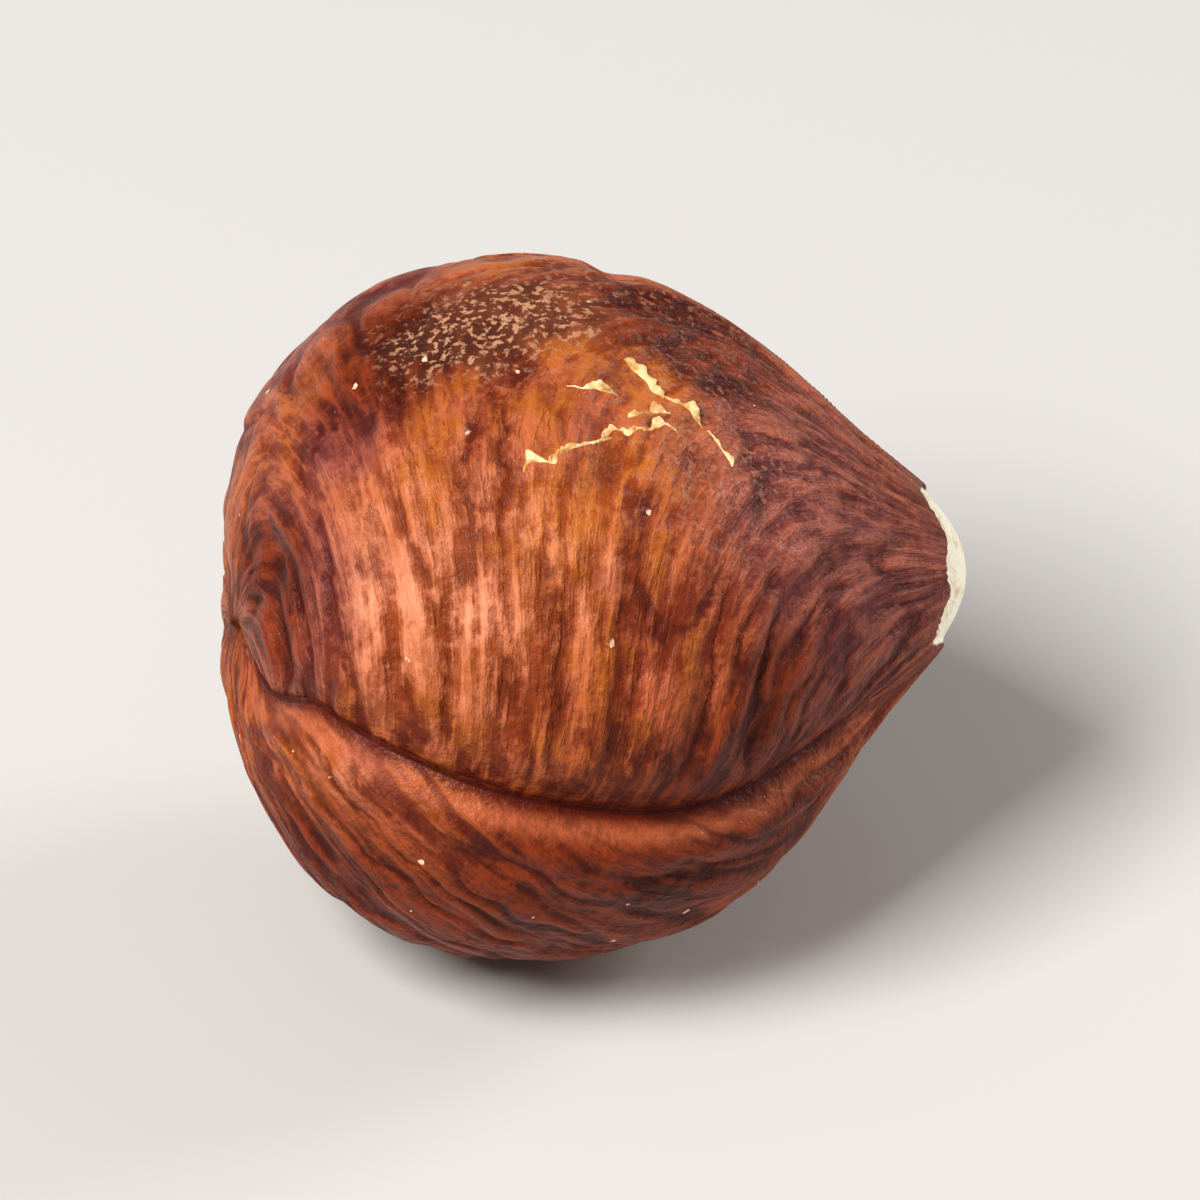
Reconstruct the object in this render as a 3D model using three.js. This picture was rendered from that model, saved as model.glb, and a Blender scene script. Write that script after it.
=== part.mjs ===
// A shelled hazelnut kernel in its brown skin, lying on its side. Millimetres, +Z up.
//
// The kernel is one solid. X runs from the round base to the blunt tip, Y from front to back.
// The origin is on the surface that it rests on, under the middle of its box.
//
// Its surface is a formula. Every direction from the middle of the body gives one radius, and the
// radius is a round body plus a few named forms: the nose that rises to the tip, the flattened
// base, the furrow between the two seed halves, the swellings and hollows of the flesh, and the
// ridges of the skin, which leave the furrow like the side veins of a leaf and run to the tip.

import * as THREE from "three";
import { mergeVertices } from "three/addons/utils/BufferGeometryUtils.js";

// Overall size.
const LENGTH = 16.0;
const DEPTH = 15.0;
const HEIGHT = 14.7;

// Body of revolution: the radius by the angle from the tip.
const BODY_RADIUS = 7.45;
const NOSE = { rise: 1.85, spread: degrees(18) };
const SHOULDER = { sink: 0.17, angle: degrees(50), spread: degrees(18) };
const BASE = { sink: 0.7, spread: degrees(34) };

// The furrow is a soft valley with a sharp crease at its bottom. It lies a little low on the front,
// climbs towards the base and turns down again there. It starts, turns and weakens at shares of
// the way from the tip to the base. On the back it is shallower.
const FURROW = {
  depth: 0.4,
  width: 0.17,
  crease: 0.26,
  creaseWidth: 0.05,
  low: 0.09,
  climb: 0.85,
  turn: 0.8,
  turns: { from: 0.78, to: 1 },
  starts: { from: 0.06, to: 0.22 },
  weakens: { from: 0.92, to: 1, by: 0.3 },
  backShare: 0.45,
};

// A low rounded lip runs along the lower side of the furrow.
const LIP = { height: 0.15, aside: -0.12, width: 0.065 };

// The skin is worn off the tip, which leaves a bare scar one skin thickness lower. Its edge is
// ragged: each wave has its height, how often it goes round and where it starts.
const SCAR = {
  angle: degrees(11.3),
  edge: degrees(3),
  depth: 0.15,
  waves: [
    { height: 0.14, times: 3, start: 1 },
    { height: 0.08, times: 7, start: 0 },
  ],
};

// Swellings and hollows of the flesh: the direction, the height and how far each spreads.
const SWELLINGS = [
  { toward: [-0.45, -0.5, -0.7], height: 0.34, spread: degrees(34) }, // full lower cheek
  { toward: [-0.2, -0.55, 0.75], height: 0.16, spread: degrees(26) }, // crown of the upper cheek
  { toward: [0.5, -0.15, 0.85], height: -0.24, spread: degrees(28) }, // slope above the tip
  { toward: [0.7, -0.72, 0.08], height: -0.2, spread: degrees(13) }, // hollow over the furrow
  { toward: [-0.93, -0.3, 0.35], height: -0.22, spread: degrees(14) }, // hollow beside the base
  { toward: [0.25, 0.85, 0.45], height: -0.34, spread: degrees(30) }, // side that lay on the shell
  { toward: [-0.45, 0.8, -0.2], height: 0.2, spread: degrees(24) }, // back cheek
  { toward: [0.55, -0.5, -0.65], height: 0.26, spread: degrees(20) }, // lower cheek by the tip
  { toward: [0.55, 0.5, -0.6], height: -0.18, spread: degrees(22) }, // slope under the tip
  { toward: [-0.6, 0.35, 0.75], height: 0.15, spread: degrees(20) }, // knuckle at the top
];

// Folds of the skin: arcs at one angle from the tip, between two angles from the furrow. Each
// begins and fades out over some degrees.
const FOLDS = [
  { angle: degrees(150), from: degrees(4), to: degrees(75), depth: 0.2, width: degrees(3.5) },
  { angle: degrees(112), from: degrees(-95), to: degrees(-40), depth: 0.12, width: degrees(3) },
  { angle: degrees(74), from: degrees(110), to: degrees(165), depth: 0.14, width: degrees(3.5) },
];
const FOLD_ENDS = { begins: degrees(12), fades: degrees(25) };

// Ridges of the skin, by the angle at which they reach the tip. They bend to the furrow, more so
// above it than below, and lie closer at the back and below the furrow. They run out over the last
// few degrees before the furrow and at the tip and the base. They wander sideways and swell along
// their way, in slow waves.
const RIDGES = {
  count: 10,
  height: 0.08,
  sweep: { above: 12, below: 1.75 },
  crowding: 1.2,
  wander: { by: 0.6, alongTip: 3.1, roundTip: 2 },
  swell: { middle: 0.65, by: 0.35, alongTip: 2.3, across: 3 },
  starts: { from: 0.07, to: 0.2 },
  stops: { from: 0.86, to: 0.97 },
  clear: degrees(14),
};

// The spot that it rests on is this far inside the round body.
const REST_SPOT_SINK = 0.1;

// The tip points a little to the back.
const TIP = new THREE.Vector3(1, 0.06, -0.005).normalize();
const FRONT = new THREE.Vector3(0, -1, 0).projectOnPlane(TIP).normalize();
const UP = new THREE.Vector3().crossVectors(FRONT, TIP);

// The mesh is a cube's grid blown out to a ball, with this many cells along a cube's edge.
const GRID_CELLS = 30;

function degrees(value) {
  return THREE.MathUtils.degToRad(value);
}

// 1 at zero, falling smoothly to nothing past about 2.
function bell(x) {
  return Math.exp(-x * x);
}

// 0 below `from`, 1 above `to`, smooth between.
function rise(x, from, to) {
  return THREE.MathUtils.smoothstep(x, from, to);
}

// A place on a ball that has the tip at +X and the furrow level at -Y, as two angles: from the
// tip, and round the tip from the furrow, up positive.
function kernelAngles(place) {
  const fromTip = Math.acos(THREE.MathUtils.clamp(place.x, -1, 1));
  const fromFurrow = Math.atan2(place.z, -place.y);
  return { fromTip, fromFurrow, share: fromTip / Math.PI };
}

// The way that those angles point on the kernel, whose furrow winds and whose tip is tilted.
function kernelDirection({ fromTip, fromFurrow, share }) {
  const turned = FURROW.turn * rise(share, FURROW.turns.from, FURROW.turns.to);
  const round = fromFurrow - FURROW.low + FURROW.climb * (share - 0.5) - turned;
  return new THREE.Vector3()
    .addScaledVector(FRONT, Math.cos(round))
    .addScaledVector(UP, Math.sin(round))
    .multiplyScalar(Math.sin(fromTip))
    .addScaledVector(TIP, Math.cos(fromTip));
}

function bodyRadius(fromTip) {
  return (
    BODY_RADIUS +
    NOSE.rise * bell(fromTip / NOSE.spread) -
    SHOULDER.sink * bell((fromTip - SHOULDER.angle) / SHOULDER.spread) -
    BASE.sink * bell((Math.PI - fromTip) / BASE.spread)
  );
}

// The furrow's depth, less the height of the lip beside it.
function furrowDepth({ fromTip, fromFurrow, share }) {
  const aside = Math.sin(fromTip) * Math.sin(fromFurrow);
  const inFront = 0.5 + 0.5 * Math.cos(fromFurrow);
  const strength = FURROW.backShare + (1 - FURROW.backShare) * inFront;
  const weakens = FURROW.weakens.by * rise(share, FURROW.weakens.from, FURROW.weakens.to);
  const along = rise(share, FURROW.starts.from, FURROW.starts.to) * (1 - weakens);
  const valley = FURROW.depth * bell(aside / FURROW.width);
  const crease = FURROW.crease * Math.exp(-Math.abs(aside) / FURROW.creaseWidth);
  const lip = LIP.height * bell((aside - LIP.aside) / LIP.width);
  return strength * along * (valley + crease * inFront - lip * inFront * inFront);
}

function swellingHeight(direction) {
  let height = 0;
  for (const swelling of SWELLINGS) {
    const away = direction.angleTo(new THREE.Vector3(...swelling.toward));
    height += swelling.height * bell(away / swelling.spread);
  }
  return height;
}

function foldDepth({ fromTip, fromFurrow }) {
  let depth = 0;
  for (const fold of FOLDS) {
    const begins = rise(fromFurrow, fold.from, fold.from + FOLD_ENDS.begins);
    const fades = 1 - rise(fromFurrow, fold.to - FOLD_ENDS.fades, fold.to);
    depth += fold.depth * bell((fromTip - fold.angle) / fold.width) * begins * fades;
  }
  return depth;
}

// How far a ridge has bent from the tip to a share of the way to the base. It bends more and
// more up to the middle, and evenly from there on.
function bend(share) {
  return share < 0.5 ? share * share : share - 0.25;
}

// A number that stays the same along each ridge.
function ridgeNumber({ fromFurrow, share }) {
  const facing = Math.cos(fromFurrow / 2) ** 2;
  const aside = Math.abs(fromFurrow) * (1 + RIDGES.crowding * (1 - facing));
  const bent = bend(share) * facing;
  if (fromFurrow >= 0) {
    return aside + RIDGES.sweep.above * bent;
  }
  return (aside + RIDGES.sweep.below * bent) * (1 + facing);
}

function ridgeHeight(angles) {
  const { fromTip, fromFurrow, share } = angles;
  const { wander, swell, starts, stops } = RIDGES;
  const number = ridgeNumber(angles);
  const sideways = wander.by * Math.sin(wander.alongTip * fromTip + wander.roundTip * fromFurrow);
  const swollen = swell.middle + swell.by * Math.sin(swell.alongTip * fromTip + swell.across * number);
  const ends = rise(share, starts.from, starts.to) * (1 - rise(share, stops.from, stops.to));
  const clear = rise(Math.abs(fromFurrow), 0, RIDGES.clear);
  return RIDGES.height * Math.cos(RIDGES.count * number + sideways) * swollen * ends * clear;
}

function scarDepth({ fromTip, fromFurrow }) {
  let edge = SCAR.angle;
  for (const wave of SCAR.waves) {
    edge += SCAR.angle * wave.height * Math.sin(wave.times * fromFurrow + wave.start);
  }
  return SCAR.depth * (1 - rise(fromTip, edge - SCAR.edge / 2, edge + SCAR.edge / 2));
}

function kernelRadius(angles, direction) {
  return (
    bodyRadius(angles.fromTip) +
    swellingHeight(direction) +
    ridgeHeight(angles) -
    furrowDepth(angles) -
    foldDepth(angles) -
    scarDepth(angles)
  );
}

// A ball of nearly equal cells: a cube's grid, spaced by equal angles and pushed out to radius 1.
function gridBall() {
  const cube = new THREE.BoxGeometry(2, 2, 2, GRID_CELLS, GRID_CELLS, GRID_CELLS);
  cube.deleteAttribute("normal");
  cube.deleteAttribute("uv");
  const ball = mergeVertices(cube);
  const places = ball.getAttribute("position");
  const spread = (x) => Math.tan((x * Math.PI) / 4);
  const place = new THREE.Vector3();
  for (let i = 0; i < places.count; i++) {
    place.fromBufferAttribute(places, i);
    place.set(spread(place.x), spread(place.y), spread(place.z)).normalize();
    places.setXYZ(i, place.x, place.y, place.z);
  }
  return ball;
}

function kernelGeometry() {
  const geometry = gridBall();
  const places = geometry.getAttribute("position");
  const place = new THREE.Vector3();
  const floor = REST_SPOT_SINK - BODY_RADIUS;
  for (let i = 0; i < places.count; i++) {
    const angles = kernelAngles(place.fromBufferAttribute(places, i));
    const direction = kernelDirection(angles);
    place.copy(direction).multiplyScalar(kernelRadius(angles, direction));
    places.setXYZ(i, place.x, place.y, Math.max(place.z, floor));
  }
  return fittedToSize(geometry);
}

// Brings the box to the stated size and stands it on the origin.
function fittedToSize(geometry) {
  geometry.computeBoundingBox();
  const size = geometry.boundingBox.getSize(new THREE.Vector3());
  geometry.scale(LENGTH / size.x, DEPTH / size.y, HEIGHT / size.z);
  geometry.computeBoundingBox();
  const middle = geometry.boundingBox.getCenter(new THREE.Vector3());
  geometry.translate(-middle.x, -middle.y, -geometry.boundingBox.min.z);
  geometry.computeVertexNormals();
  return geometry;
}

const skin = new THREE.MeshStandardMaterial({ color: 0x8c4524, roughness: 0.55, metalness: 0 });
const kernel = new THREE.Mesh(kernelGeometry(), skin);
kernel.name = "kernel";

const hazelnut = new THREE.Group();
hazelnut.add(kernel);

export default hazelnut;
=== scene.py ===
# The looks of a shelled hazelnut kernel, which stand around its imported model. Metres, +Z up.
#
# The kernel lies on its side, with its blunt tip towards +X and its furrow towards -Y. One finer
# piece stands for the plain solid and keeps its form. It starts as a cube, whose grid is blown out
# to a ball. Every direction from the middle then gets one radius: the form, by the same formula as
# the solid has, and on top of it the fine skin. What the skin is like at each place, such as
# wrinkled, corky or worn off, is kept in attributes, which the material reads. A second piece is
# the thin shreds that stand up where the skin is torn.

from math import cos, pi, radians, sin

import bpy
import numpy as np
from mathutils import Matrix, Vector, noise


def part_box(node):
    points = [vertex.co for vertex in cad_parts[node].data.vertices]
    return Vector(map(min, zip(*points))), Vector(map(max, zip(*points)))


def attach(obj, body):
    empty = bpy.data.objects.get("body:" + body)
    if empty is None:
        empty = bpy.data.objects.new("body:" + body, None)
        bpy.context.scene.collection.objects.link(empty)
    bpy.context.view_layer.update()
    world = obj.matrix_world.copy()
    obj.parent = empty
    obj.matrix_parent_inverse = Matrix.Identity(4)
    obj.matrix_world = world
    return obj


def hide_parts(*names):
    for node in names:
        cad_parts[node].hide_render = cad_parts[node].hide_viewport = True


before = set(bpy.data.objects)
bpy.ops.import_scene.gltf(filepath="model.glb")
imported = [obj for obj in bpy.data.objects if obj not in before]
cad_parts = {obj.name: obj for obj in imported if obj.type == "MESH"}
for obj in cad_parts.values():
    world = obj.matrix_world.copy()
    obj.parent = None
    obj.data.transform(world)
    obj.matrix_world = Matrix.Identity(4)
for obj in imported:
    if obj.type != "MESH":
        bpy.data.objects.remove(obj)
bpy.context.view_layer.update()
KERNEL_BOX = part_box("kernel")

# The form, in millimetres. It is the solid's own, and is fitted to the solid's box at the end.

# Body of revolution: the radius by the angle from the tip.
BODY_RADIUS = 7.45
NOSE_RISE, NOSE_SPREAD = 1.85, radians(18)
SHOULDER_SINK, SHOULDER_ANGLE, SHOULDER_SPREAD = 0.17, radians(50), radians(18)
BASE_SINK, BASE_SPREAD = 0.7, radians(34)

# The furrow is a soft valley with a sharp crease at its bottom. It lies a little low on the front,
# climbs towards the base and turns down again there. It starts, turns and weakens at shares of the
# way from the tip to the base. On the back it is shallower.
VALLEY_DEPTH, VALLEY_WIDTH = 0.4, 0.17
CREASE_DEPTH, CREASE_WIDTH = 0.26, 0.05
FURROW_LOW, FURROW_CLIMB, FURROW_TURN = 0.09, 0.85, 0.8
FURROW_STARTS, FURROW_TURNS, FURROW_WEAKENS = (0.06, 0.22), (0.78, 1), (0.92, 1)
FURROW_WEAKENING = 0.3
FURROW_BACK_SHARE = 0.45

# A low rounded lip runs along the lower side of the furrow, with a fine groove under it.
LIP_HEIGHT, LIP_ASIDE, LIP_WIDTH = 0.15, -0.12, 0.065
LIP_GROOVE_DEPTH, LIP_GROOVE_ASIDE, LIP_GROOVE_WIDTH = 0.06, -0.23, 0.018

# The edge of the lip, along which a highlight is painted.
LIP_HIGHLIGHT_ASIDE, LIP_HIGHLIGHT_WIDTH = -0.066, 0.028

# Swellings and hollows of the flesh: the direction, the height and how far each spreads.
SWELLINGS = [
    ((-0.45, -0.5, -0.7), 0.34, radians(34)),  # full lower cheek
    ((-0.2, -0.55, 0.75), 0.16, radians(26)),  # crown of the upper cheek
    ((0.5, -0.15, 0.85), -0.24, radians(28)),  # slope above the tip
    ((0.7, -0.72, 0.08), -0.2, radians(13)),  # hollow over the furrow
    ((-0.93, -0.3, 0.35), -0.22, radians(14)),  # hollow beside the base
    ((0.25, 0.85, 0.45), -0.34, radians(30)),  # side that lay on the shell
    ((-0.45, 0.8, -0.2), 0.2, radians(24)),  # back cheek
    ((0.55, -0.5, -0.65), 0.26, radians(20)),  # lower cheek by the tip
    ((0.55, 0.5, -0.6), -0.18, radians(22)),  # slope under the tip
    ((-0.6, 0.35, 0.75), 0.15, radians(20)),  # knuckle at the top
]

# Folds of the skin: the angle from the tip, where each starts and stops round the tip, its depth
# and its width. Each begins and fades out over some degrees.
FOLDS = [
    (radians(150), radians(4), radians(75), 0.2, radians(3.5)),
    (radians(112), radians(-95), radians(-40), 0.12, radians(3)),
    (radians(74), radians(110), radians(165), 0.14, radians(3.5)),
]
FOLD_BEGINS, FOLD_FADES = radians(12), radians(25)

# Ridges, numbered by the angle at which they reach the tip. They bend to the furrow, more so above
# it than below, and lie closer at the back and below the furrow.
RIDGES_TO_A_NUMBER = 10
RIDGE_HEIGHT = 0.08
RIDGE_SWEEP_ABOVE, RIDGE_SWEEP_BELOW = 12, 1.75
RIDGE_CROWDING = 1.2
RIDGE_CLEAR = radians(14)
RIDGE_STARTS, RIDGE_STOPS = (0.07, 0.2), (0.86, 0.97)

# The ridges wander sideways and swell along their way, in slow waves. Each wave has two rates: by
# the angle from the tip, and by the angle from the furrow or by the ridge's number.
RIDGE_WANDER, WANDER_RATES = 0.6, (3.1, 2)
RIDGE_SWELL, SWELL_RATES = 0.35, (2.3, 3)

# The ridges also crowd where they close in on the tip and on the base. This starts and is full at
# these sines of the angle from the tip.
POLES_CROWD = (0.75, 0.2)

# The skin is worn off the tip, which leaves a bare scar one skin thickness lower. Its outline has
# lobes: how many go round, their reach as a share, and their turn. The skin's edge is torn in
# bumps: their size and their reach in millimetres. The scar slopes down and the fine skin ends
# over these distances, inside the edge and outside it.
SCAR_ANGLE = radians(11.3)
SKIN_THICKNESS = 0.15
SCAR_LOBES = [(3, 0.14, 1), (7, 0.08, 0)]
SCAR_TORN = [(0.45, 0.16), (0.17, 0.07)]
SCAR_SLOPE, SKIN_END = 0.12, 0.1

# The grid on each side of the cube: it is cut twice, and has 32 x 4 cells along an edge.
CUTS = (31, 3)

# The fine skin, in millimetres.

# Streaks are noise that is drawn out along the ridges. They waver sideways.
STREAK_STRETCH, STREAK_SLANT = 2.5, 0.6
STREAK_WAVE, STREAK_WAVE_LENGTH = 0.13, 1.1

# Wrinkles that follow the ridges: how many lie across one number, how high they stand, and the
# share of that height where the ridges lie apart and where they crowd. Their grooves are wider
# where they crowd. They fade at both ends of the ridges and beside the furrow, and stand higher
# in some patches than in others.
WRINKLES = [(2.4, 0.13, 0, 1), (4.6, 0.1, 1, 0.7), (9.5, 0.035, 1, 0)]
WRINKLE_GROOVE, WRINKLE_GROOVE_CROWDED = 0.27, 0.432
WRINKLE_LEVEL = 0.6
WRINKLE_STARTS, WRINKLE_STOPS = (0.05, 0.14), (0.86, 0.97)
WRINKLE_STOP_LOSS, WRINKLE_FURROW_LOSS = 0.6, 0.65
WRINKLE_PATCHES, WRINKLE_PATCH_SIZE = (0.8, 0.5), 3.1

# Shallow dents: how far apart they are and how deep.
DENTS = [(2.4, 0.05), (0.8, 0.02)]

# Where the outer skin has peeled off in a thin flake: chains of round spots, each with its
# direction and its radius.
PEELED = [
    ((0.12, -0.62, 0.78), 0.6),
    ((0.03, -0.66, 0.75), 0.7),
    ((0.22, -0.54, 0.81), 0.5),
    ((-0.06, -0.70, 0.71), 0.45),
    ((0.14, -0.12, 0.98), 0.6),
    ((0.26, -0.18, 0.95), 0.7),
    ((0.35, -0.24, 0.91), 0.4),
    ((0.10, 0.75, 0.66), 0.9),
    ((-0.05, 0.82, 0.56), 0.6),
    ((-0.55, 0.55, -0.62), 0.8),
    ((0.45, -0.30, -0.84), 0.6),
]
PEEL_DEPTH, PEEL_EDGE = 0.035, (-0.15, 0.2)
PEEL_STREAKS, PEEL_STREAK_REACH = 3.4, 0.5
PEEL_BUMP_SIZE, PEEL_BUMP_REACH = 0.6, 0.3

# Dull corky crust, as chains of spots too.
CORKY = [
    ((-0.15, 0.00, 0.99), 1.2),
    ((-0.28, -0.02, 0.96), 1.0),
    ((0.00, 0.03, 1.00), 1.1),
    ((-0.80, 0.45, -0.35), 1.2),
    ((-0.70, 0.60, -0.25), 0.9),
    ((0.55, 0.70, 0.40), 1.0),
]
CORK_HEIGHT, CORK_EDGE = 0.05, (-0.4, 0.4)
CORK_BUMP_SIZE, CORK_BUMP_REACH = 0.8, 0.6
CORK_CRUMB_SIZE, CORK_LEVEL = 0.3, 0.4

# Broad tints of the skin, painted shade and painted highlights: the direction and how far each
# spreads.
PURPLE = [
    ((0.85, -0.42, 0.36), radians(38)),
    ((-0.82, -0.42, 0.40), radians(24)),
    ((0.70, 0.55, 0.20), radians(36)),
    ((-0.55, 0.60, 0.60), radians(30)),
    ((-0.58, -0.24, 0.78), radians(13)),
]
# Warmer tone. The first zone, on the cheek that faces the key light, also paints a highlight there.
WARM_AND_HIGHLIT = [
    ((-0.36, -0.74, 0.56), radians(27)),
    ((0.00, -0.74, 0.67), radians(14)),
    ((-0.66, -0.72, -0.12), radians(12)),
    ((-0.20, 0.80, -0.50), radians(34)),
]
# Painted shade: these zones darken the underside, the hollows over the furrow and beside the base,
# a place on the top and the slope above the tip, where shade falls.
SHADE_ZONES = [
    ((0.05, -0.86, -0.50), radians(36)),
    ((0.55, -0.80, -0.24), radians(32)),
    ((-0.50, -0.60, -0.62), radians(34)),
    ((0.60, -0.79, 0.12), radians(15)),
    ((-0.86, -0.36, 0.36), radians(17)),
    ((-0.44, -0.04, 0.90), radians(16)),
    ((0.30, 0.60, -0.75), radians(34)),
    ((0.45, 0.12, 0.88), radians(20)),
]
DUSTY = [
    ((-0.10, 0.00, 0.99), radians(22)),
    ((0.50, -0.34, 0.79), radians(24)),
    ((0.30, 0.40, 0.85), radians(30)),
    ((-0.70, 0.55, -0.30), radians(28)),
]
# Painted highlights: small spots on the lit crests of the front.
HIGHLIGHT_SPOTS = [
    ((-0.05, -0.70, 0.71), radians(3)),
    ((-0.47, -0.72, 0.51), radians(9)),
    ((-0.24, -0.80, 0.54), radians(7)),
]

# Shreds of torn skin: the directions that each one passes, and its width.
SHREDS = [
    ([(-0.09, -0.55, 0.83), (-0.03, -0.53, 0.85), (0.03, -0.50, 0.86)], 0.6),
    ([(0.01, -0.52, 0.86), (0.10, -0.48, 0.88), (0.17, -0.45, 0.88)], 0.3),
    ([(0.13, -0.46, 0.88), (0.20, -0.42, 0.89), (0.28, -0.42, 0.87)], 0.62),
    ([(0.26, -0.42, 0.87), (0.31, -0.39, 0.87), (0.36, -0.38, 0.85)], 0.3),
    ([(0.22, -0.17, 0.96), (0.29, -0.23, 0.93), (0.34, -0.27, 0.90)], 0.56),
    ([(0.33, -0.26, 0.91), (0.40, -0.29, 0.87), (0.45, -0.33, 0.83)], 0.3),
    ([(0.47, -0.33, 0.82), (0.50, -0.37, 0.78), (0.53, -0.41, 0.74)], 0.24),
    ([(0.22, -0.37, 0.90), (0.28, -0.35, 0.89), (0.35, -0.33, 0.88)], 0.4),
    ([(0.05, -0.30, 0.95), (0.12, -0.31, 0.94), (0.20, -0.30, 0.93)], 0.26),
    ([(-0.10, 0.70, 0.70), (0.00, 0.68, 0.73), (0.12, 0.62, 0.78)], 0.4),
    ([(-0.68, 0.45, -0.58), (-0.60, 0.52, -0.62), (-0.50, 0.50, -0.70)], 0.4),
]
SHRED_LIFT, SHRED_SINK = 0.1, 0.05
SHRED_THICKNESS = 0.03
SHRED_CELLS = (48, 4)

# Flakes make a shred wider and narrower, and waves bend it. Their noise has so many bumps along
# the shred and across it, and lies so far from the next shred's.
FLAKES_ALONG, FLAKES_ACROSS, FLAKES_APART = 3.2, 1.2, 7.3
FLAKE_LEAST, FLAKE_REACH, FLAKE_EDGE = 0.3, 0.9, (-0.2, 0.4)
FRAY_SIZE, FRAY_REACH = 0.4, 0.5
WAVES_ALONG, WAVES_APART, WAVE_REACH = 2.4, 3.1, 0.35


def bell(x):
    """1 at zero, falling smoothly to nothing past about 2."""
    return np.exp(-x * x)


def rise(x, low, high):
    """0 below `low`, 1 above `high`, smooth between."""
    share = np.clip((x - low) / (high - low), 0, 1)
    return share * share * (3 - 2 * share)


def bumps(points, size):
    """Smooth noise from about -1 to 1 at each point, whose bumps lie about `size` apart."""
    return np.array([noise.noise(Vector(point)) for point in points / size])


def unit(vector):
    return np.array(vector) / np.linalg.norm(vector)


# The tip points a little to the back.
TIP = unit((1, 0.06, -0.005))
FRONT = unit(np.array((0, -1, 0)) + TIP * TIP[1])
UP = np.cross(FRONT, TIP)


def furrow_course(share):
    """How far up from the front the furrow lies, as an angle round the tip."""
    turned = FURROW_TURN * rise(share, *FURROW_TURNS)
    return FURROW_CLIMB * (share - 0.5) - FURROW_LOW - turned


def kernel_ways(ball):
    """The ways on the kernel for the places on a ball that has its furrow level at -Y."""
    from_tip = np.arccos(np.clip(ball[:, 0], -1, 1))
    around = np.arctan2(ball[:, 2], -ball[:, 1]) + furrow_course(from_tip / pi)
    across = np.outer(np.cos(around), FRONT) + np.outer(np.sin(around), UP)
    return across * np.sin(from_tip)[:, None] + np.outer(np.cos(from_tip), TIP)


class Surface:
    """Some ways from the middle of the body, and the angles that the form is a formula of."""

    def __init__(self, ways):
        self.ways = ways
        self.from_tip = np.arccos(np.clip(ways @ TIP, -1, 1))
        self.share = self.from_tip / pi
        around = np.arctan2(ways @ UP, ways @ FRONT) - furrow_course(self.share)
        self.from_furrow = (around + pi) % (2 * pi) - pi
        self.ridge = self.ridge_numbers()

    def ridge_numbers(self):
        """A number that stays the same along each ridge. How much the ridges crowd is kept."""
        facing = np.cos(self.from_furrow / 2) ** 2
        aside = np.abs(self.from_furrow) * (1 + RIDGE_CROWDING * (1 - facing))
        bend = np.where(self.share < 0.5, self.share**2, self.share - 0.25) * facing
        swept = facing * np.minimum(2 * self.share, 1) * (self.from_furrow > 0)
        self.crowded = np.maximum(swept, rise(np.sin(self.from_tip), *POLES_CROWD))
        below = (aside + RIDGE_SWEEP_BELOW * bend) * (1 + facing)
        return np.where(self.from_furrow > -1e-6, aside + RIDGE_SWEEP_ABOVE * bend, below)

    def by_crowding(self, apart, crowded):
        """A value that differs where the ridges lie apart and where they crowd."""
        return apart + (crowded - apart) * self.crowded

    def angle_to(self, toward):
        return np.arccos(np.clip(self.ways @ unit(toward), -1, 1))

    def bumps(self, size):
        return bumps(self.ways * BODY_RADIUS, size)

    def inside(self, spots):
        """How far inside the nearest of some round spots each place lies, in millimetres."""
        return np.max([size - self.angle_to(toward) * BODY_RADIUS for toward, size in spots], 0)

    def tint(self, zones):
        """1 in the middle of the zones, fading outwards."""
        return np.max([bell(self.angle_to(toward) / spread) for toward, spread in zones], 0)


def body(surface):
    return (
        BODY_RADIUS
        + NOSE_RISE * bell(surface.from_tip / NOSE_SPREAD)
        - SHOULDER_SINK * bell((surface.from_tip - SHOULDER_ANGLE) / SHOULDER_SPREAD)
        - BASE_SINK * bell((pi - surface.from_tip) / BASE_SPREAD)
    )


def swellings(surface):
    return sum(high * bell(surface.angle_to(toward) / spread) for toward, high, spread in SWELLINGS)


def furrow(surface):
    """The depth of the furrow, less the height of the lip beside it."""
    aside = np.sin(surface.from_tip) * np.sin(surface.from_furrow)
    in_front = 0.5 + 0.5 * np.cos(surface.from_furrow)
    strength = FURROW_BACK_SHARE + (1 - FURROW_BACK_SHARE) * in_front
    weakens = FURROW_WEAKENING * rise(surface.share, *FURROW_WEAKENS)
    along = strength * rise(surface.share, *FURROW_STARTS) * (1 - weakens)
    valley = VALLEY_DEPTH * bell(aside / VALLEY_WIDTH)
    crease = np.exp(-np.abs(aside) / CREASE_WIDTH) * in_front
    lip = bell((aside - LIP_ASIDE) / LIP_WIDTH) * in_front**2
    groove = bell((aside - LIP_GROOVE_ASIDE) / LIP_GROOVE_WIDTH) * in_front**2
    # The crease and the valley, where the material paints shade.
    surface.crease = crease * along
    # The edge of the lip, where the material paints a highlight.
    surface.lip = bell((aside - LIP_HIGHLIGHT_ASIDE) / LIP_HIGHLIGHT_WIDTH) * in_front**2 * along
    surface.valley = bell(aside / VALLEY_WIDTH) * along
    return along * (valley + CREASE_DEPTH * crease - LIP_HEIGHT * lip + LIP_GROOVE_DEPTH * groove)


def folds(surface):
    depth = np.zeros(len(surface.ways))
    for angle, start, stop, deep, width in FOLDS:
        begins = rise(surface.from_furrow, start, start + FOLD_BEGINS)
        fades = 1 - rise(surface.from_furrow, stop - FOLD_FADES, stop)
        depth += deep * bell((surface.from_tip - angle) / width) * begins * fades
    return depth


def slow_wave(rates, first, second):
    return np.sin(rates[0] * first + rates[1] * second)


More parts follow.
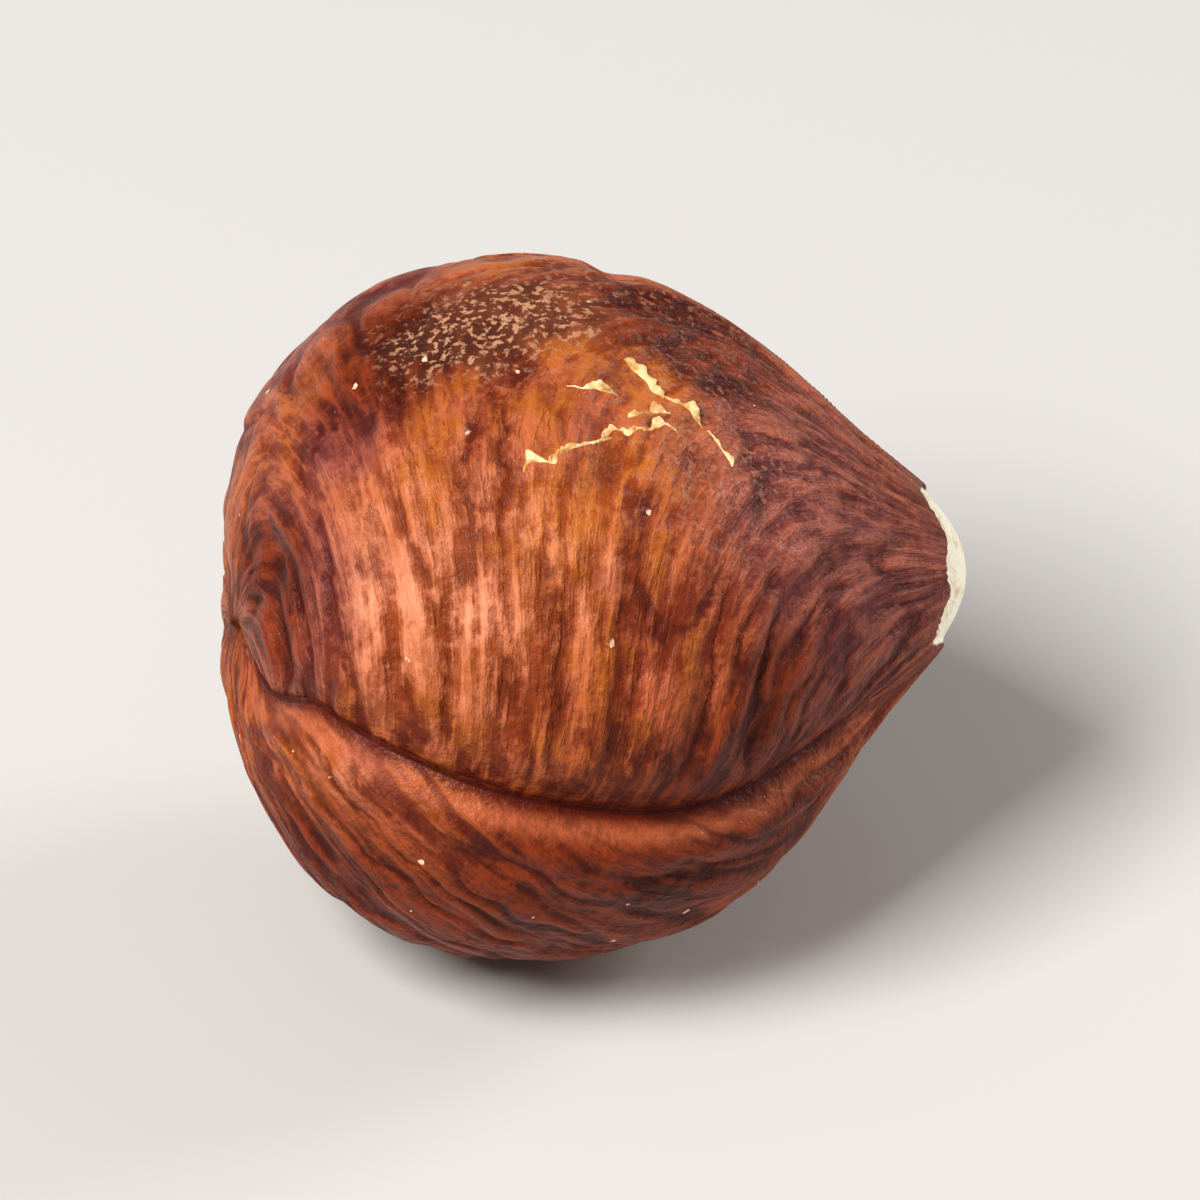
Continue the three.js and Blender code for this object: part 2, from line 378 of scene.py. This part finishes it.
def ridges(surface):
    wander = RIDGE_WANDER * slow_wave(WANDER_RATES, surface.from_tip, surface.from_furrow)
    swell = RIDGE_SWELL * slow_wave(SWELL_RATES, surface.from_tip, surface.ridge)
    ends = rise(surface.share, *RIDGE_STARTS) * (1 - rise(surface.share, *RIDGE_STOPS))
    clear = rise(np.abs(surface.from_furrow), 0, RIDGE_CLEAR)
    waves = np.cos(RIDGES_TO_A_NUMBER * surface.ridge + wander)
    return RIDGE_HEIGHT * waves * (1 - RIDGE_SWELL + swell) * ends * clear


def streaks(surface, count):
    """Noise from about -1 to 1 that is drawn out along the ridges, `count` to a ridge number."""
    x, y, z = (surface.ways * BODY_RADIUS / STREAK_STRETCH).T
    wavy = surface.ridge + STREAK_WAVE * surface.bumps(STREAK_WAVE_LENGTH)
    slanted = (wavy * count, x + STREAK_SLANT * z, y - STREAK_SLANT * z)
    return bumps(np.column_stack(slanted), 1)


def wrinkles(surface):
    """Rounded wrinkles with narrow grooves between them. They fade at the scar and the furrow."""
    stops = WRINKLE_STOP_LOSS * rise(surface.share, *WRINKLE_STOPS)
    ends = rise(surface.share, *WRINKLE_STARTS) * (1 - stops)
    beside = 1 - rise(np.abs(surface.from_furrow), 0, RIDGE_CLEAR)
    groove = surface.by_crowding(WRINKLE_GROOVE, WRINKLE_GROOVE_CROWDED)
    height = full = 0
    for count, high, *shares in WRINKLES:
        high = high * surface.by_crowding(*shares)
        crest = rise(np.abs(streaks(surface, count)), 0, groove)
        height += high * (crest - WRINKLE_LEVEL)
        full += high
    surface.wrinkle = height / full + WRINKLE_LEVEL
    usual, change = WRINKLE_PATCHES
    patchy = usual + change * surface.bumps(WRINKLE_PATCH_SIZE)
    return height * ends * (1 - WRINKLE_FURROW_LOSS * beside) * patchy


def dents(surface):
    return sum(deep * surface.bumps(apart) for apart, deep in DENTS)


def bare_scar(surface):
    """The depth of the scar. How far inside its edge a place lies, in millimetres, is kept."""
    around = surface.from_furrow
    lobes = sum(reach * np.sin(count * around + turn) for count, reach, turn in SCAR_LOBES)
    torn = sum(reach * surface.bumps(size) for size, reach in SCAR_TORN)
    inside = (SCAR_ANGLE * (1 + lobes) - surface.from_tip) * (BODY_RADIUS + NOSE_RISE)
    surface.bare = inside + torn
    return SKIN_THICKNESS * rise(surface.bare, -SCAR_SLOPE, SCAR_SLOPE)


def peeled(surface):
    """The depth of the peeled places. How far inside their edge a place lies is kept."""
    streaky = PEEL_STREAK_REACH * streaks(surface, PEEL_STREAKS)
    ragged = PEEL_BUMP_REACH * surface.bumps(PEEL_BUMP_SIZE)
    surface.peel = surface.inside(PEELED) + streaky + ragged
    return PEEL_DEPTH * rise(surface.peel, *PEEL_EDGE)


def cork(surface):
    """The height of the corky crust. How far inside its edge a place lies is kept."""
    surface.cork = surface.inside(CORKY) + CORK_BUMP_REACH * surface.bumps(CORK_BUMP_SIZE)
    crumbs = CORK_LEVEL + surface.bumps(CORK_CRUMB_SIZE)
    return CORK_HEIGHT * rise(surface.cork, *CORK_EDGE) * crumbs


def form_places(surface):
    """The form alone, as the solid has it, in millimetres from the middle of the body."""
    radius = body(surface) + swellings(surface) + ridges(surface)
    radius -= furrow(surface) + folds(surface)
    return surface.ways * radius[:, None]


def finished_places(surface):
    """The form with its scar and its fine skin."""
    scar = bare_scar(surface)
    covered = 1 - rise(surface.bare, -SKIN_END, SKIN_END)
    skin = wrinkles(surface) + dents(surface) + cork(surface) - peeled(surface)
    return form_places(surface) + surface.ways * (skin * covered - scar)[:, None]


class Fit:
    """Moves and scales places in the way that brings the form into the solid's box."""

    def __init__(self, form):
        self.low, high = (np.array(corner) for corner in KERNEL_BOX)
        self.corner = form.min(0)
        self.scale = (high - self.low) / (form.max(0) - self.corner)

    def places(self, found):
        places = self.low + (found - self.corner) * self.scale
        places[:, 2] = np.maximum(places[:, 2], self.low[2])
        return places


def places_of(mesh):
    places = np.empty(len(mesh.vertices) * 3, np.float32)
    mesh.vertices.foreach_get("co", places)
    return places.reshape(-1, 3).astype(float)


def move_to(mesh, places):
    mesh.vertices.foreach_set("co", places.astype(np.float32).ravel())
    mesh.update()


def keep(mesh, name, values):
    """Stores one number for each vertex, for the material."""
    attribute = mesh.attributes.new(name, "FLOAT", "POINT")
    attribute.data.foreach_set("value", values.astype(np.float32))


def lay_out_sides(mesh):
    """Each side of the cube fills one cell of a sheet that is 3 cells wide and 2 high."""
    margin = 0.012
    sheet = mesh.uv_layers[0]
    sheet.name = "OFBake"
    for side in mesh.polygons:
        column, row = side.index % 3, side.index // 3
        corners = ((0, 0), (1, 0), (1, 1), (0, 1))
        for loop, corner in zip(side.loop_indices, corners):
            u, v = (margin + (1 - 2 * margin) * share for share in corner)
            sheet.uv[loop].vector = ((column + u) / 3, (row + v) / 2)


def add_cube_grid():
    """A cube of half size 1, with each side cut into a grid, and laid out for baking."""
    bpy.ops.object.select_all(action="DESELECT")
    bpy.ops.mesh.primitive_cube_add(size=2)
    cube = bpy.context.object
    lay_out_sides(cube.data)
    bpy.ops.object.mode_set(mode="EDIT")
    bpy.ops.mesh.select_all(action="SELECT")
    for cuts in CUTS:
        bpy.ops.mesh.subdivide(number_cuts=cuts)
    bpy.ops.object.mode_set(mode="OBJECT")
    return cube


def make_kernel():
    """The kernel, and how its form was fitted."""
    kernel = add_cube_grid()
    kernel.name = kernel.data.name = "nut"
    spaced = np.tan(places_of(kernel.data) * pi / 4)
    surface = Surface(kernel_ways(spaced / np.linalg.norm(spaced, axis=1)[:, None]))
    fit = Fit(form_places(surface))
    move_to(kernel.data, fit.places(finished_places(surface)))
    for name in ("ridge", "wrinkle", "crease", "lip", "valley", "bare", "peel", "cork"):
        keep(kernel.data, name, getattr(surface, name))
    # Broad tints, among them the zones of painted shade and the spots of painted highlight.
    zones = {"purple": PURPLE, "warm_and_highlit": WARM_AND_HIGHLIT, "deep": SHADE_ZONES, "dusty": DUSTY, "bright": HIGHLIGHT_SPOTS}
    for name, places in zones.items():
        keep(kernel.data, name, surface.tint(places))
    bpy.ops.object.shade_smooth()
    return kernel, fit


def bent_path(passed, shares):
    """Ways along a smooth curve through the directions that are passed."""
    found = [Vector(unit(direction)) for direction in passed]
    found = [found[0] * 2 - found[1], *found, found[-1] * 2 - found[-2]]
    spans = len(passed) - 1
    ways = []
    for share in shares:
        span = min(int(share * spans), spans - 1)
        before, start, stop, after = found[span:span + 4]
        part = share * spans - span
        slope = (stop - before) * part
        bend = (before * 2 - start * 5 + stop * 4 - after) * part**2
        twist = (start * 3 - before - stop * 3 + after) * part**3
        ways.append(unit(start * 2 + slope + bend + twist))
    return np.array(ways)


def ways_beside(passed, along, aside):
    """The ways that lie so far aside of a curve, at shares along it."""
    step = 0.01
    middle = bent_path(passed, along)
    after = bent_path(passed, np.minimum(along + step, 1))
    before = bent_path(passed, np.maximum(along - step, 0))
    sideways = np.cross(middle, after - before)
    sideways /= np.linalg.norm(sideways, axis=1)[:, None]
    return np.array([unit(way) for way in middle + sideways * aside[:, None]])


def shred_shape(index, along, across):
    """How wide a shred is and how far it is bent aside, as shares of its usual width."""
    still = np.zeros(len(along))
    apart = still + index * FLAKES_APART
    ragged = np.column_stack((along * FLAKES_ALONG, apart, across * FLAKES_ACROSS))
    flaky = FLAKE_LEAST + FLAKE_REACH * rise(bumps(ragged, 1), *FLAKE_EDGE)
    flaky += FRAY_REACH * bumps(ragged, FRAY_SIZE)
    waves = np.column_stack((along * WAVES_ALONG, still, still + index * WAVES_APART))
    return np.sin(pi * along) ** 0.5 * flaky, WAVE_REACH * bumps(waves, 1)


def make_shred(index, passed, width, fit):
    """A thin strip of skin. One long edge is sunk in the skin and the other one stands up."""
    cells_along, cells_across = SHRED_CELLS
    bpy.ops.object.select_all(action="DESELECT")
    bpy.ops.mesh.primitive_grid_add(
        x_subdivisions=cells_along, y_subdivisions=cells_across, size=1
    )
    shred = bpy.context.object
    along, across = (places_of(shred.data)[:, axis] + 0.5 for axis in (0, 1))
    wide, bent = shred_shape(index, along, across)
    aside = ((across - 0.5) * wide + bent) * width / BODY_RADIUS
    surface = Surface(ways_beside(passed, along, aside))
    lifted = across**1.5 * SHRED_LIFT * wide - SHRED_SINK * (1 - across)
    places = finished_places(surface) + surface.ways * lifted[:, None]
    move_to(shred.data, fit.places(places))
    return shred


def make_shreds(fit):
    made = [make_shred(index, passed, width, fit) for index, (passed, width) in enumerate(SHREDS)]
    for shred in made:
        shred.select_set(True)
    bpy.ops.object.join()
    shreds = bpy.context.object
    shreds.name = shreds.data.name = "torn_skin"
    thick = shreds.modifiers.new("thickness", "SOLIDIFY")
    thick.thickness = SHRED_THICKNESS / 1000
    bpy.ops.object.modifier_apply(modifier=thick.name)
    bpy.ops.object.shade_smooth()
    return shreds


class Field:
    """A number that changes over a surface. Sums with it add the Math nodes that work them out."""

    def __init__(self, finish, socket):
        self.finish, self.socket = finish, socket

    def maths(self, operation, *values):
        return self.finish.node("Math", {"operation": operation}, dict(enumerate((self, *values))))

    def __add__(self, other):
        return self.maths("ADD", other)

    def __sub__(self, other):
        return self.maths("SUBTRACT", other)

    def __rsub__(self, other):
        return self * -1 + other

    def __mul__(self, other):
        return self.maths("MULTIPLY", other)

    __radd__ = __add__
    __rmul__ = __mul__

    def other(self, output):
        """Another output of the same node."""
        return Field(self.finish, self.socket.node.outputs[output])


class Finish:
    """A material in the making."""

    def __init__(self, name):
        self.material = bpy.data.materials.new(name)
        self.material.use_nodes = True
        self.tree = self.material.node_tree
        self.tree.nodes.clear()

    def node(self, kind, settings, inputs, output=None):
        """Adds one node. Its settings come first, and its inputs are values or fields."""
        made = self.tree.nodes.new("ShaderNode" + kind)
        for name, value in settings.items():
            setattr(made, name, value)
        for name, value in inputs.items():
            if isinstance(value, Field):
                self.tree.links.new(value.socket, made.inputs[name])
            else:
                made.inputs[name].default_value = value
        if made.outputs:
            return Field(self, made.outputs[output or 0])

    def show(self, shader):
        self.node("OutputMaterial", {}, {"Surface": shader})

    def place(self):
        """The place on the piece, in millimetres."""
        found = self.node("TexCoord", {}, {}, "Object")
        return self.node("VectorMath", {"operation": "SCALE"}, {0: found, "Scale": 1000})

    def attribute(self, name):
        return self.node("Attribute", {"attribute_name": name}, {}, "Fac")

    def noise(self, place, size, detail, rough=0.5):
        """Noise from 0 to 1, whose bumps lie about `size` millimetres apart."""
        inputs = {"Vector": place, "Scale": 1 / size, "Detail": detail, "Roughness": rough}
        return self.node("TexNoise", {}, inputs)

    def drawn_out(self, place, ridge, count, stretch, detail, rough):
        """Noise from 0 to 1 that is drawn out along the ridges, `count` to a ridge number."""
        shrunk = self.node("VectorMath", {"operation": "SCALE"}, {0: place, "Scale": 1 / stretch})
        inputs = {
            "Vector": shrunk,
            "W": ridge * count,
            "Scale": 1,
            "Detail": detail,
            "Roughness": rough,
        }
        return self.node("TexNoise", {"noise_dimensions": "4D"}, inputs)

    def rise(self, value, low, high):
        """0 up to `low` and 1 past `high`, smooth between. `low` may be the greater."""
        inputs = {"Value": value, "From Min": low, "From Max": high}
        return self.node("MapRange", {"interpolation_type": "SMOOTHSTEP"}, inputs)

    def mix(self, share, first, second):
        """A colour that goes from the first to the second as the share goes from 0 to 1."""
        return self.node("Mix", {"data_type": "RGBA"}, {0: share, 6: first, 7: second}, 2)

    def layers(self, colour, *layers):
        """Covers a colour with others, one after another, each by its own share."""
        for share, cover in layers:
            colour = self.mix(share, colour, cover)
        return colour

    def uneven(self, name, noise, reach, edge):
        """The mask of an attribute, whose edge is made uneven by a noise."""
        return self.rise(self.attribute(name) + (noise - 0.5) * reach, *edge)

    def line(self, noise, level, width):
        """Thin lines where a noise passes a level."""
        return self.rise((noise - level).maths("ABSOLUTE"), width, 0)

    def flecks(self, place, apart, size, share, uneven):
        """Small flecks up to `size` across in a share of the cells of a loose grid. A noise
        makes their outlines uneven.
        """
        spread, unevenness, softness = 0.3, 2, 0.15
        inputs = {"Vector": place, "Scale": 1 / apart, "Randomness": 1}
        distance = self.node("TexVoronoi", {}, inputs, "Distance")
        chance = self.rise(distance.other("Color"), 1 - share, 1 + spread - share)
        inside = chance * (size / 2) - distance * apart + (uneven - 0.5) * size * unevenness
        return self.rise(inside, 0, size * softness)

    def bump(self, height, depth):
        """Raises the surface by the height, of which 1 stands for `depth` metres."""
        return self.node("Bump", {}, {"Height": height, "Distance": depth, "Strength": 1})


def srgb(*shown):
    """A colour as a screen shows it, from 0 to 255, as the shader's own numbers."""
    linear = [((c / 255 + 0.055) / 1.055) ** 2.4 if c > 10 else c / 3295 for c in shown]
    return (*linear, 1)


RED_BROWN = srgb(112, 40, 17)
# Warm tone between the streaks, which on the front cheek is partly a painted highlight.
OCHRE_BROWN = srgb(132, 56, 18)
PURPLE_BROWN = srgb(94, 35, 33)
# Painted shade between the streaks.
SHADE_RED = srgb(62, 15, 5)
SALMON = srgb(178, 90, 55)
# Crests of the warm zones, partly a painted highlight on the front cheek.
PEACH = srgb(206, 122, 82)
MAUVE = srgb(158, 82, 63)
# Painted shade on the streaks' crests.
SHADE_CREST_RED = srgb(128, 48, 18)
OCHRE = srgb(172, 90, 32)
GROOVE = srgb(68, 20, 9)
# Painted highlight on lit crests.
HIGHLIGHT_ROSE = srgb(230, 142, 108)
ORANGE = srgb(146, 64, 14)
AMBER = srgb(186, 102, 36)
GOLD = srgb(246, 208, 146)
GOLD_SHADE = srgb(198, 138, 66)
# Painted shade in the furrow's valley and crease.
CREASE_SHADE = srgb(74, 14, 6)
CORK_DARK = srgb(64, 32, 23)
CORK_PALE = srgb(192, 138, 102)
DUST = srgb(186, 124, 96)
CREAM = srgb(255, 247, 224)
CREAM_SHADE = srgb(226, 190, 138)
# Pale specks: skin scales, and painted glints.
FLECK_AND_GLINT = srgb(240, 196, 168)


# Noises of the skin: how far apart the bumps lie in millimetres, the detail and the roughness.
MOTTLE = (0.36, 3, 0.65)
GRAIN = (0.17, 2, 0.6)
PATCH = (1.1, 2, 0.5)
BROAD = (2.2, 2, 0.5)

# Streaks of the skin: how many lie to a ridge number, their length, the detail and the roughness.
STREAKS = (11, 1.3, 3, 0.55)

# What the height of the skin is summed from, for the colours: shares, and what is taken off.
WRINKLE_SHARE, STREAK_SHARE, MOTTLE_SHARE, HEIGHT_LEVEL = 0.6, 1.9, 1.4, 1.44

# The reach of the noise that makes a mask's edge uneven, and where the mask starts and is full.
PURPLE_MASK = (0.9, (0.25, 0.8))
# The mask of the painted shade.
SHADE_MASK = (0.6, (0.15, 0.75))
# The mask of the warm tone, partly a painted highlight.
WARM_AND_HIGHLIT_MASK = (0.8, (0.1, 0.9))
PEEL_MASK = (0.8, (-0.35, 0.45))
CRUST_MASK = (2.4, (-0.9, 0.6))
# The mask of the painted shade along the crease.
CREASE_SHADE_MASK = (0.6, (0.42, 0.75))
BARE_MASK = (0.15, (-0.03, 0.03))

# Where masks of the height and of noises start and are full.
CREST_EDGE, AMBER_EDGE = (0.15, 1.05), (0.35, 0.8)
OCHRE_EDGE, OCHRE_PURPLE_LOSS, PEACH_EDGE = (0.4, 0.62), 0.5, (0.65, 0.4)
GROOVE_REACH, GROOVE_EDGE = 1.4, (0.3, -0.05)
DUST_EDGE, DUSTY_EDGE = (0.54, 0.64), (0.1, 0.9)
CRUMB_EDGE, CREAM_SHADE_EDGE = (0.5, 0.63), (0.5, 0.75)

# Dark veins and pale threads: the streaks' level that they follow, where the mottle starts to show
# them and shows them in full, and their strength.
LINE_WIDTH = 0.03
VEIN_LEVEL, VEIN_EDGE, VEIN_STRENGTH = 0.5, (0.42, 0.58), 0.6
THREAD_LEVEL, THREAD_EDGE, THREAD_STRENGTH = 0.64, (0.6, 0.45), 0.6

# How much each layer covers what is under it.
# The second takes off groove darkening in the warm zones, where a highlight is partly painted.
GROOVE_STRENGTH, GROOVE_WARM_AND_HIGHLIT_LOSS = 0.7, 0.3
# Painted shade in the valley and along the crease.
VALLEY_SHADE_STRENGTH, CREASE_SHADE_STRENGTH = 0.5, 0.8
# Painted highlight along the edge of the lip, stronger on the crests.
LIP_HIGHLIGHT_STRENGTH, LIP_HIGHLIGHT_CREST_STRENGTH = 0.35, 0.45
# The first is the painted highlight on lit crests.
HIGHLIGHT_STRENGTH, PEEL_STRENGTH, DUST_STRENGTH = 0.85, 0.7, 0.4
CRUST_STRENGTH, CRUMB_STRENGTH = 0.75, 0.85
# Pale specks, partly painted glints.
FLECKS_AND_GLINTS = {"apart": 0.75, "size": 0.17, "share": 0.4}

# Relief too fine for the mesh: shares of the noises, and the depth in metres.
RELIEF_STREAKS, RELIEF_MOTTLE, RELIEF_VALLEY_LOSS = 1.2, 0.8, 0.7
RELIEF_DEPTH = 0.00014

# Roughness: the usual one, what crests lose, what crust adds and how much it is mottled.
ROUGH, ROUGH_CREST_LOSS, ROUGH_CRUST, ROUGH_MOTTLE = 0.46, 0.14, 0.3, 0.5
SHINE = 0.11

# The shreds: noises as above, and the depth of the bumps in metres.
BLOTCHES, BLOTCH_EDGE = (0.35, 3), (0.4, 0.62)
SHRED_BUMPS, SHRED_RELIEF = (0.12, 2), 0.00005
SHRED_ROUGH = 0.45


class NutSkin(Finish):
    """Ridged red-brown skin with peeled, corky and bare places, painted shade and painted
    highlights.
    """

    def __init__(self):
        super().__init__("nut skin")
        place = self.place()
        self.mottle = self.noise(place, *MOTTLE)
        self.grain = self.noise(place, *GRAIN)
        self.patch = self.noise(place, *PATCH)
        self.streaks = self.drawn_out(place, self.attribute("ridge"), *STREAKS)
        # Pale specks, some of them painted glints.
        self.specks_and_glints = self.flecks(place, uneven=self.grain, **FLECKS_AND_GLINTS)

        broad = self.noise(place, *BROAD)
        self.purple = self.uneven("purple", broad, *PURPLE_MASK)
        # The mask of the painted shade.
        self.deep = self.uneven("deep", broad, *SHADE_MASK)
        # The mask of the warm tone, which on the front cheek is partly a painted highlight.
        self.warm_and_highlit = self.uneven("warm_and_highlit", self.patch, *WARM_AND_HIGHLIT_MASK)
        self.crust = self.uneven("cork", self.mottle, *CRUST_MASK)
        self.bare = self.uneven("bare", self.grain, *BARE_MASK)

        self.wrinkle = self.attribute("wrinkle")
        self.valley = self.attribute("valley")
        drawn = self.wrinkle * WRINKLE_SHARE + self.streaks * STREAK_SHARE
        self.height = drawn + self.mottle * MOTTLE_SHARE - HEIGHT_LEVEL
        self.crest = self.rise(self.height, *CREST_EDGE)

    def low_colour(self):
        """The colour between the streaks, with painted shade in some zones and warmth that is
        partly a painted highlight.
        """
        return self.layers(
            RED_BROWN,
            (self.warm_and_highlit, OCHRE_BROWN),
            (self.purple, PURPLE_BROWN),
            # Painted shade in the shaded zones.
            (self.deep, SHADE_RED),
        )

    def high_colour(self):
        """The colour on the streaks' crests, with painted shade in some zones and peach that is
        partly a painted highlight.
        """
        ochre = self.rise(self.patch, *OCHRE_EDGE) * (1 - OCHRE_PURPLE_LOSS * self.purple)
        peach = self.warm_and_highlit * self.rise(self.patch, *PEACH_EDGE)
        return self.layers(
            SALMON,
            (ochre, OCHRE),
            (peach, PEACH),
            (self.purple, MAUVE),
            # Painted shade in the shaded zones.
            (self.deep, SHADE_CREST_RED),
        )

    def ridged_colour(self):
        """The sound skin, with dark grooves and veins, pale threads and crests, painted shade in
        the furrow and painted highlights.
        """
        pale = self.high_colour()
        low = self.wrinkle + (self.mottle - 0.5) * GROOVE_REACH
        groove = self.rise(low, *GROOVE_EDGE) * (GROOVE_STRENGTH - GROOVE_WARM_AND_HIGHLIT_LOSS * self.warm_and_highlit)
        vein = self.line(self.streaks, VEIN_LEVEL, LINE_WIDTH)
        vein *= self.rise(self.mottle, *VEIN_EDGE)
        thread = self.line(self.streaks, THREAD_LEVEL, LINE_WIDTH)
        thread *= self.rise(self.mottle, *THREAD_EDGE)
        # Painted highlight along the edge of the lip.
        lip = self.attribute("lip") * (LIP_HIGHLIGHT_STRENGTH + LIP_HIGHLIGHT_CREST_STRENGTH * self.crest)
        # Painted highlight on lit crests.
        bright = self.crest * self.attribute("bright")
        return self.layers(
            self.low_colour(),
            (self.crest, pale),
            (groove, GROOVE),
            (vein * VEIN_STRENGTH, GROOVE),
            (thread * THREAD_STRENGTH, pale),
            # Painted shade in the furrow's valley.
            (self.valley * (1 - self.crest) * VALLEY_SHADE_STRENGTH, CREASE_SHADE),
            # Painted highlight along the lip.
            (lip, SALMON),
            # Painted highlight on lit crests.
            (bright * HIGHLIGHT_STRENGTH, HIGHLIGHT_ROSE),
        )

    def colour(self):
        """The ridged skin under its peeled, dusty, corky and bare places, pale specks partly
        painted as glints, and painted shade along the crease.
        """
        peel = self.uneven("peel", self.streaks, *PEEL_MASK)
        orange = self.mix(self.rise(self.height, *AMBER_EDGE), ORANGE, AMBER)
        dusty = self.rise(self.attribute("dusty"), *DUSTY_EDGE)
        dust = self.rise(self.grain, *DUST_EDGE) * dusty
        crumbs = self.rise(self.grain, *CRUMB_EDGE) * self.crust
        # Painted shade along the crease.
        crease = self.uneven("crease", self.mottle, *CREASE_SHADE_MASK)
        scar = self.mix(self.rise(self.mottle, *CREAM_SHADE_EDGE), CREAM, CREAM_SHADE)
        return self.layers(
            self.ridged_colour(),
            (peel * PEEL_STRENGTH, orange),
            (dust * DUST_STRENGTH, DUST),
            (self.crust * CRUST_STRENGTH, CORK_DARK),
            (crumbs * CRUMB_STRENGTH, CORK_PALE),
            # Pale specks, partly painted glints.
            (self.specks_and_glints, FLECK_AND_GLINT),
            (crease * CREASE_SHADE_STRENGTH, CREASE_SHADE),
            (self.bare, scar),
        )

    def relief(self):
        """Fine bumps. The streaks fade from them in the furrow and on the scar."""
        fading = (1 - RELIEF_VALLEY_LOSS * self.valley) * (1 - self.bare)
        height = self.streaks * fading * RELIEF_STREAKS + self.mottle * RELIEF_MOTTLE
        return self.bump(height, RELIEF_DEPTH)

    def roughness(self):
        rough = ROUGH - ROUGH_CREST_LOSS * self.crest + ROUGH_CRUST * self.crust
        return rough + (self.mottle - 0.5) * ROUGH_MOTTLE


def nut_finish():
    skin = NutSkin()
    inputs = {
        "Base Color": skin.colour(),
        "Roughness": skin.roughness(),
        "Normal": skin.relief(),
        "Specular IOR Level": SHINE,
    }
    skin.show(skin.node("BsdfPrincipled", {}, inputs))
    return skin.material


def shred_finish():
    """Thin torn skin, which is golden where the light gets through."""
    shred = Finish("torn skin")
    place = shred.place()
    blotches = shred.rise(shred.noise(place, *BLOTCHES), *BLOTCH_EDGE)
    inputs = {
        "Base Color": shred.mix(blotches, GOLD, GOLD_SHADE),
        "Roughness": SHRED_ROUGH,
        "Normal": shred.bump(shred.noise(place, *SHRED_BUMPS), SHRED_RELIEF),
    }
    shred.show(shred.node("BsdfPrincipled", {}, inputs))
    return shred.material


def floor_finish():
    pale = Finish("pale floor")
    inputs = {"Base Color": (*FLOOR_SHADE, 1), "Roughness": FLOOR_ROUGH}
    pale.show(pale.node("BsdfPrincipled", {}, inputs))
    return pale.material


# The stage, in metres. A direction is a way from the kernel.
FLOOR_SIZE = 6.0
FLOOR_SHADE, FLOOR_ROUGH = (0.55, 0.53, 0.505), 0.7
SKY_SHADE = (1.0, 0.97, 0.93)
SKY_STRENGTH = 0.24
KEY = {"toward": (-0.50, -0.42, 0.76), "away": 0.5, "size": 0.22, "power": 4.0}
RIM = {"toward": (0.85, 0.35, 0.4), "away": 0.5, "size": 0.2, "power": 1.4}

# The photograph's view of the kernel. The lens is longer than its own, so that the kernel fills
# more of the picture from the same place.
VIEW_AZIMUTH, VIEW_ELEVATION = radians(-5), radians(34.5)
VIEW_DISTANCE = 0.555
VIEW_WIDTH = 0.0255
SENSOR = 36


def make_floor():
    bpy.ops.object.select_all(action="DESELECT")
    bpy.ops.mesh.primitive_plane_add(size=FLOOR_SIZE)
    floor = bpy.context.object
    floor.name = "floor"
    floor.data.materials.append(floor_finish())


def make_sky():
    world = bpy.data.worlds.new("sky")
    world.use_nodes = True
    sky = world.node_tree.nodes["Background"]
    sky.inputs["Color"].default_value = (*SKY_SHADE, 1)
    sky.inputs["Strength"].default_value = SKY_STRENGTH
    bpy.context.scene.world = world


def make_light(name, middle, toward, away, size, power):
    """A square soft light that faces the middle of the kernel."""
    light = bpy.data.lights.new(name, "AREA")
    light.size, light.energy = size, power
    lamp = bpy.data.objects.new(name, light)
    lamp.location = middle + Vector(toward).normalized() * away
    lamp.rotation_euler = (middle - lamp.location).to_track_quat("-Z", "Y").to_euler()
    lamp.visible_camera = False
    bpy.context.scene.collection.objects.link(lamp)


def make_camera(middle):
    back = Vector((
        sin(VIEW_AZIMUTH) * cos(VIEW_ELEVATION),
        -cos(VIEW_AZIMUTH) * cos(VIEW_ELEVATION),
        sin(VIEW_ELEVATION),
    ))
    camera = bpy.data.objects.new("camera", bpy.data.cameras.new("camera"))
    camera.data.sensor_width = SENSOR
    camera.data.lens = SENSOR * VIEW_DISTANCE / VIEW_WIDTH
    camera.data.clip_start = VIEW_DISTANCE / 100
    camera.location = middle + back * VIEW_DISTANCE
    camera.rotation_euler = back.to_track_quat("Z", "Y").to_euler()
    bpy.context.scene.collection.objects.link(camera)
    bpy.context.scene.camera = camera


MIDDLE = (KERNEL_BOX[0] + KERNEL_BOX[1]) / 2

make_camera(MIDDLE)
make_floor()
make_sky()
make_light("key", MIDDLE, **KEY)
make_light("rim", MIDDLE, **RIM)

nut, nut_fit = make_kernel()
nut.data.materials.append(nut_finish())
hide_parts("kernel")
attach(nut, "root")

torn_skin = make_shreds(nut_fit)
torn_skin.data.materials.append(shred_finish())
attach(torn_skin, "root")

bpy.context.scene.view_settings.view_transform = "Standard"
